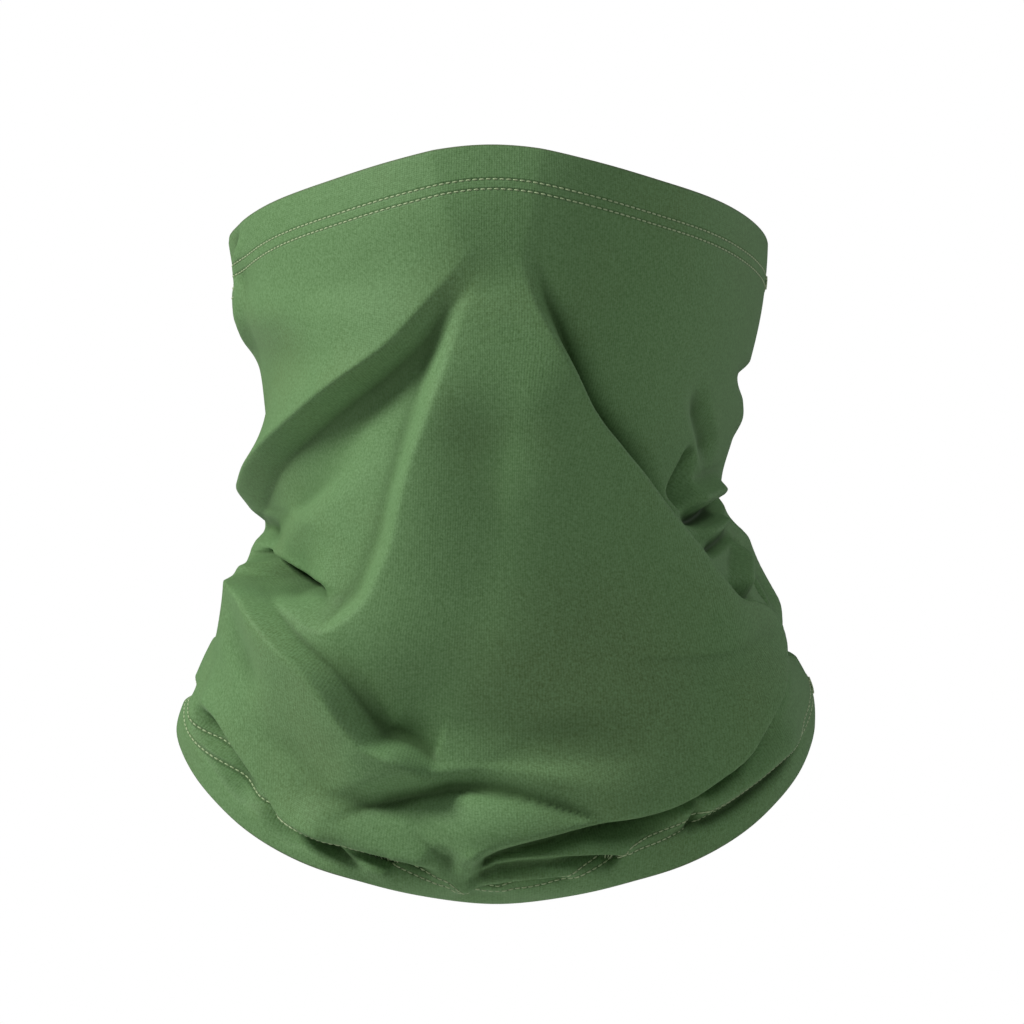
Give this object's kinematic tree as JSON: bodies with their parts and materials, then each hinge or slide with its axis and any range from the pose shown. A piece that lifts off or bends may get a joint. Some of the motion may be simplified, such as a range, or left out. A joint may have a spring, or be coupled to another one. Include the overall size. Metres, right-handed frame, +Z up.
{
  "type": "neck gaiter",
  "caption": "Green knitted neck gaiter: a soft tube, worn round the neck and lower face, gathered in folds, with stitched hems and a side seam.",
  "frame": {"origin": "middle of the neck opening, level with the lowest point of its edge", "axes": "+Z up from the neck opening to the head opening, -Y the way the wearer faces, +X the wearer's left"},
  "size_m": [0.2052, 0.1943, 0.244],
  "materials": {
    "green_jersey": "matte knit with a faint sheen",
    "green_thread": "satin spun thread"
  },
  "bodies": {
    "root": {"tube_fabric": "green_jersey", "top_hem_turnback": "green_jersey", "neck_hem_turnback": "green_jersey", "side_seam_allowance": "green_jersey", "top_hem_needle_thread_first_row": "green_thread", "top_hem_needle_thread_second_row": "green_thread", "top_hem_looper_thread": "green_thread", "top_hem_closing_tack": "green_thread", "neck_hem_needle_thread_first_row": "green_thread", "neck_hem_needle_thread_second_row": "green_thread", "neck_hem_looper_thread": "green_thread", "neck_hem_closing_tack": "green_thread", "side_seam_needle_thread_inner": "green_thread", "side_seam_needle_thread_outer": "green_thread", "side_seam_upper_looper_thread": "green_thread", "side_seam_lower_looper_thread": "green_thread"}
  },
  "joints": []
}
